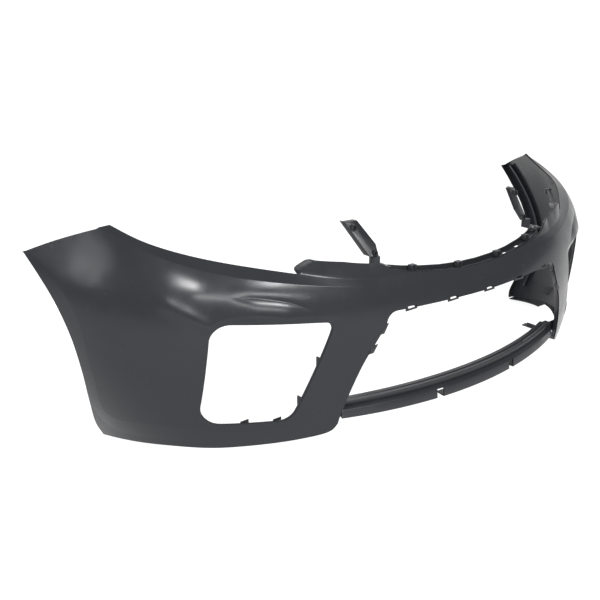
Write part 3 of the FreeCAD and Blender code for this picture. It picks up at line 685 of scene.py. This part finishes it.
def rolled_rim(edge, normal, depth, kind, closed):
    """Rows of points that roll over an edge and run back as a flange."""
    if closed:
        along = np.roll(edge, -1, axis=0) - np.roll(edge, 1, axis=0)
    else:
        along = np.gradient(edge, axis=0)
    along /= np.linalg.norm(along, axis=1)[:, None]
    out = np.cross(along, normal)
    out /= np.linalg.norm(out, axis=1)[:, None]
    inward = np.where((kind == TO_CENTRE)[:, None], (-1.0, 0, 0), -normal)
    inward = np.where((kind == TO_REAR)[:, None], (0, 1.0, 0), inward)
    if not closed:
        for _ in range(2):
            depth = np.convolve(np.pad(depth, 1, mode="edge"), np.ones(3) / 3, mode="valid")
        out[[0, -1], 0] = 0
        inward[[0, -1], 0] = 0
    lean = np.clip(-np.einsum("ij,ij->i", inward, normal), 0.35, 1)[:, None]
    deep = depth[:, None] / lean
    rows = []
    for k in (1, 2, 3, 4):
        angle = k * math.pi / 8
        rows.append(edge + out * EDGE_R * math.sin(angle) + inward * EDGE_R * (1 - math.cos(angle)))
    rows.append(edge + out * EDGE_R + inward * (deep - 0.7))
    rows.append(edge + out * (EDGE_R - 0.6) + inward * deep)
    rows.append(edge + out * 0.5 + inward * deep)
    rows.append(edge + inward * (deep - 0.7))
    return np.array(rows)


def mirrored_mesh(verts, polys):
    """Adds the right half and joins the two along the centre line."""
    centre = np.abs(verts[:, 0]) < 0.02
    other = np.full(len(verts), -1)
    other[centre] = np.where(centre)[0]
    other[~centre] = len(verts) + np.arange((~centre).sum())
    both = np.concatenate([verts, verts[~centre] * (-1, 1, 1)])
    faces = list(polys) + [tuple(int(other[i]) for i in p[::-1]) for p in polys]
    return both, faces


def add_mesh(name, verts, polys, smooth_angle=None):
    mesh = bpy.data.meshes.new(name)
    mesh.from_pydata([tuple(v) for v in place(verts)], [], [tuple(int(i) for i in p) for p in polys])
    bm = bmesh.new()
    bm.from_mesh(mesh)
    bmesh.ops.recalc_face_normals(bm, faces=bm.faces)
    bm.to_mesh(mesh)
    bm.free()
    mesh.update()
    mesh.shade_smooth()
    if smooth_angle is not None:
        mesh.set_sharp_from_angle(angle=math.radians(smooth_angle))
    obj = bpy.data.objects.new(name, mesh)
    bpy.context.scene.collection.objects.link(obj)
    return obj


# ---------------------------------------------------------------- materials
def shader(name, colour, roughness, spread, grain, grain_scale, wear_and_edge_highlight, metallic=0.0, shine=0.5, mottle=4.0):
    """Procedural finish: mottled colour, uneven roughness, fine grain, and paler edges that are partly rubbed
    wear and partly a painted highlight.
    """
    mat = bpy.data.materials.new(name)
    mat.use_nodes = True
    nodes, links = mat.node_tree.nodes, mat.node_tree.links
    nodes.clear()
    out = nodes.new("ShaderNodeOutputMaterial")
    bsdf = nodes.new("ShaderNodeBsdfPrincipled")
    bsdf.inputs["Metallic"].default_value = metallic
    bsdf.inputs["Specular IOR Level"].default_value = shine
    links.new(bsdf.outputs["BSDF"], out.inputs["Surface"])
    coords = nodes.new("ShaderNodeTexCoord")

    def noise(scale, detail):
        node = nodes.new("ShaderNodeTexNoise")
        node.inputs["Scale"].default_value = scale
        node.inputs["Detail"].default_value = detail
        links.new(coords.outputs["Object"], node.inputs["Vector"])
        return node.outputs["Fac"]

    def ramp(source, low, high, start=0.3, stop=0.7):
        node = nodes.new("ShaderNodeValToRGB")
        node.color_ramp.elements[0].position = start
        node.color_ramp.elements[1].position = stop
        node.color_ramp.elements[0].color = (*low, 1)
        node.color_ramp.elements[1].color = (*high, 1)
        links.new(source, node.inputs["Fac"])
        return node.outputs["Color"]

    dark = [c * (1 - spread) for c in colour]
    light = [c * (1 + spread) for c in colour]
    base = ramp(noise(mottle, 6.0), dark, light)
    geometry = nodes.new("ShaderNodeNewGeometry")
    # Paler colour where Pointiness is high: rubbed edge wear plus a painted highlight along the rims.
    edge = ramp(geometry.outputs["Pointiness"], (0, 0, 0), (wear_and_edge_highlight, wear_and_edge_highlight, wear_and_edge_highlight), 0.54, 0.62)
    wear_and_highlight_mix = nodes.new("ShaderNodeMix")
    wear_and_highlight_mix.data_type = "RGBA"
    wear_and_highlight_mix.inputs[7].default_value = (*[min(1, c * 2.4 + 0.02) for c in colour], 1)
    links.new(edge, wear_and_highlight_mix.inputs[0])
    links.new(base, wear_and_highlight_mix.inputs[6])
    links.new(wear_and_highlight_mix.outputs[2], bsdf.inputs["Base Color"])
    rough = ramp(noise(mottle * 5, 5.0), [roughness - 0.05] * 3, [roughness + 0.06] * 3)
    links.new(rough, bsdf.inputs["Roughness"])
    bump_node = nodes.new("ShaderNodeBump")
    bump_node.inputs["Strength"].default_value = grain
    bump_node.inputs["Distance"].default_value = 0.0006
    links.new(noise(grain_scale, 3.0), bump_node.inputs["Height"])
    links.new(bump_node.outputs["Normal"], bsdf.inputs["Normal"])
    return mat


# colour, roughness, spread, grain, grain scale, edge wear and painted edge highlight
FINISHES = {
    # On the skin the pale rims are a painted highlight along its edges as well as edge wear.
    "primed_skin": shader("primed_skin_look", (0.0158, 0.0166, 0.0190), 0.22, 0.05, 0.03, 900.0, 0.35,
                          shine=0.17),
    "black_plastic": shader("black_plastic_look", (0.0085, 0.009, 0.0105), 0.42, 0.12, 0.14, 1400.0, 0.5,
                            shine=0.30),
    "crossbar_plastic": shader("crossbar_plastic_look", (0.0105, 0.011, 0.013), 0.40, 0.12, 0.16, 1200.0,
                               0.6, shine=0.30),
    "clip_nylon": shader("clip_nylon_look", (0.009, 0.009, 0.010), 0.40, 0.15, 0.10, 1600.0, 0.4,
                         shine=0.30),
    "zinc_steel": shader("zinc_steel_look", (0.13, 0.13, 0.135), 0.38, 0.15, 0.12, 2200.0, 0.4,
                         metallic=0.9, mottle=30.0),
}


def finish_with(obj, slot_name):
    obj.data.materials.clear()
    obj.data.materials.append(FINISHES[slot_name])


# ---------------------------------------------------------------- floor and light
FLOOR_GLOW = 0.88


def floor_sweep():
    """Pale studio floor that curves up into a wall behind the object."""
    view = Vector((LOOK_AT.x - CAMERA_AT.x, LOOK_AT.y - CAMERA_AT.y, 0)).normalized()
    side = Vector((view.y, -view.x, 0))
    low = -ORIGIN[2] * MM - 0.001
    bend_start = 7.0
    radius = 4.0
    profile = [(-8.0, 0.0), (0.0, 0.0), (bend_start, 0.0)]
    for k in range(1, 13):
        angle = k * math.pi / 24
        profile.append((bend_start + radius * math.sin(angle), radius * (1 - math.cos(angle))))
    profile.append((bend_start + radius, 12.0))
    verts, faces = [], []
    for along, up in profile:
        for across in (-16.0, 16.0):
            point = view * along + side * across
            verts.append((point.x, point.y, low + up))
    for k in range(len(profile) - 1):
        faces.append((2 * k, 2 * k + 1, 2 * k + 3, 2 * k + 2))
    mesh = bpy.data.meshes.new("floor")
    mesh.from_pydata(verts, [], faces)
    mesh.shade_smooth()
    floor = bpy.data.objects.new("floor", mesh)
    bpy.context.scene.collection.objects.link(floor)
    pale = shader("floor_look", (0.30, 0.30, 0.30), 0.85, 0.01, 0.02, 30.0, 0.0)
    glow = pale.node_tree.nodes["Principled BSDF"]
    glow.inputs["Specular IOR Level"].default_value = 0.0
    glow.inputs["Emission Color"].default_value = (1.0, 1.0, 1.0, 1)
    glow.inputs["Emission Strength"].default_value = FLOOR_GLOW
    floor.data.materials.append(pale)


def soft_light(name, at, aim, width, height, power):
    data = bpy.data.lights.new(name, "AREA")
    data.shape = "RECTANGLE"
    data.size = width
    data.size_y = height
    data.energy = power
    light = bpy.data.objects.new(name, data)
    light.location = at
    light.rotation_euler = (Vector(aim) - Vector(at)).to_track_quat("-Z", "Y").to_euler()
    bpy.context.scene.collection.objects.link(light)


def studio():
    world = bpy.data.worlds.new("studio")
    bpy.context.scene.world = world
    world.use_nodes = True
    background = world.node_tree.nodes["Background"]
    background.inputs["Color"].default_value = (0.84, 0.86, 0.90, 1)
    background.inputs["Strength"].default_value = 0.24
    soft_light("back_fill", (2.4, 4.2, 3.0), (0, 0.3, -0.5), 4.0, 2.0, 36)
    soft_light("flank", (-4.3, 2.1, 1.35), (-0.8, 0.3, -0.1), 0.14, 1.5, 19)
    soft_light("left_window", (-3.3, -1.25, 2.35), (-0.68, 0.09, -0.08), 0.8, 0.65, 108)
    soft_light("front_window", (-0.75, -2.5, 2.6), (-0.5, 0.0, -0.1), 1.1, 0.62, 165)
    soft_light("low_strip", (-2.1, -2.35, 1.36), (-0.58, 0.0, -0.12), 2.7, 0.26, 85)


floor_sweep()
studio()
bpy.context.scene.view_settings.view_transform = "Standard"

# ---------------------------------------------------------------- the pieces
verts, polys = skin_mesh()
skin = add_mesh("skin_moulding", *mirrored_mesh(verts, polys), smooth_angle=50)
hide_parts("cover_skin")
finish_with(skin, "primed_skin")
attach(skin, "root")

NODE_SLOTS = {
    "upper_grille_rail": "black_plastic",
    "grille_clip_towers": "black_plastic",
    "upper_arm_left": "black_plastic",
    "upper_arm_right": "black_plastic",
    "arm_rivets": "zinc_steel",
    "crossbar_bracket_left": "black_plastic",
    "crossbar_bracket_right": "black_plastic",
    "crossbar_screws": "zinc_steel",
    "undertray_flange_left": "primed_skin",
    "undertray_flange_right": "primed_skin",
    "wing_gusset_left": "primed_skin",
    "wing_gusset_right": "primed_skin",
    "arch_rib_left": "primed_skin",
    "arch_rib_right": "primed_skin",
    "headlamp_strap_left": "black_plastic",
    "headlamp_strap_right": "black_plastic",
    "strap_nuts": "zinc_steel",
    "fog_clips_left": "clip_nylon",
    "fog_clips_right": "clip_nylon",
    "lower_grille_clips": "clip_nylon",
    "pillar_clips_left": "clip_nylon",
    "pillar_clips_right": "clip_nylon",
}


EDGE_BEVEL = 0.0006
BEVEL_ANGLE = math.radians(28)
SHARP_ANGLE = math.radians(35)


def softened(node, slot_name):
    """The node's shape with every hard edge slightly rounded."""
    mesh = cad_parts[node].data.copy()
    mesh.materials.clear()
    bm = bmesh.new()
    bm.from_mesh(mesh)
    bmesh.ops.remove_doubles(bm, verts=bm.verts, dist=1e-6)
    bmesh.ops.dissolve_limit(bm, angle_limit=math.radians(1.0), verts=bm.verts, edges=bm.edges)
    sharp = [e for e in bm.edges if len(e.link_faces) == 2 and e.calc_face_angle(0) > BEVEL_ANGLE]
    bmesh.ops.bevel(bm, geom=sharp, offset=EDGE_BEVEL, segments=2, profile=0.5, affect="EDGES",
                    clamp_overlap=True)
    bm.to_mesh(mesh)
    bm.free()
    mesh.shade_smooth()
    mesh.set_sharp_from_angle(angle=SHARP_ANGLE)
    obj = bpy.data.objects.new(node + "_moulded", mesh)
    bpy.context.scene.collection.objects.link(obj)
    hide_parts(node)
    finish_with(obj, slot_name)
    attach(obj, "root")


for node, slot_name in NODE_SLOTS.items():
    softened(node, slot_name)

BAR_RADIUS = 1150.0
BAR_FRONT = 30.0
BAR_REACH = 377.0
BAR_END = 391.0
BAR_SECTION = [(1.0, 121.5), (0.2, 123), (0, 134.5), (1.5, 136), (9, 136), (10.2, 135.2), (10.8, 133.6),
               (13.4, 133.4), (14.2, 135.2), (15.2, 136), (25, 136), (26, 135), (26, 133.4), (4.2, 133.2),
               (3.2, 132), (3, 118.9), (-5.6, 114.8), (-6.4, 113.6), (-8.9, 96.2), (-8.2, 95), (16, 95),
               (16, 92.4), (15.4, 92), (-11, 92), (-12, 93), (-9.6, 115.6), (-8.6, 117)]
NOTCH_AT = (-133.0, 133.0)
NOTCH_TOP = 113.0
BAR_NOTCH_HALF = 10.0
BAR_MIDDLE = 114.0
BAR_TAPER = 0.17
BAR_STEPS = 125


def bar_point(across, depth, height):
    """Point of the crossbar: across is the distance from the centre, and the section shrinks to the ends."""
    angle = math.asin(across / BAR_RADIUS)
    reach = BAR_RADIUS - depth
    taper = 1 - BAR_TAPER * (across / BAR_REACH) ** 2
    return (reach * math.sin(angle), BAR_FRONT + BAR_RADIUS - reach * math.cos(angle),
            BAR_MIDDLE + (height - BAR_MIDDLE) * taper)


def crossbar():
    """Curved channel swept across the lower opening, with two notches in its lower half."""
    steps = set(np.linspace(-BAR_END, BAR_END, BAR_STEPS))
    for x in NOTCH_AT:
        sides = {x - BAR_NOTCH_HALF, x + BAR_NOTCH_HALF}
        steps = {a for a in steps if abs(abs(a - x) - BAR_NOTCH_HALF) > 2.5} | sides
    steps = sorted(steps)
    count = len(BAR_SECTION)
    grid = [bar_point(a, y, z) for a in steps for y, z in BAR_SECTION]
    faces = []
    for i in range(len(steps) - 1):
        middle = (steps[i] + steps[i + 1]) / 2
        notched = any(abs(middle - x) < BAR_NOTCH_HALF for x in NOTCH_AT)
        for k in range(count):
            high = min(BAR_SECTION[k][1], BAR_SECTION[(k + 1) % count][1])
            if notched and high < NOTCH_TOP:
                continue
            n = (k + 1) % count
            faces.append((i * count + k, (i + 1) * count + k, (i + 1) * count + n, i * count + n))
    faces.append(tuple(range(count)))
    faces.append(tuple((len(steps) - 1) * count + k for k in reversed(range(count))))
    obj = add_mesh("crossbar_channel", np.array(grid), faces, smooth_angle=32)
    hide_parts("lower_crossbar")
    finish_with(obj, "crossbar_plastic")
    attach(obj, "root")


crossbar()
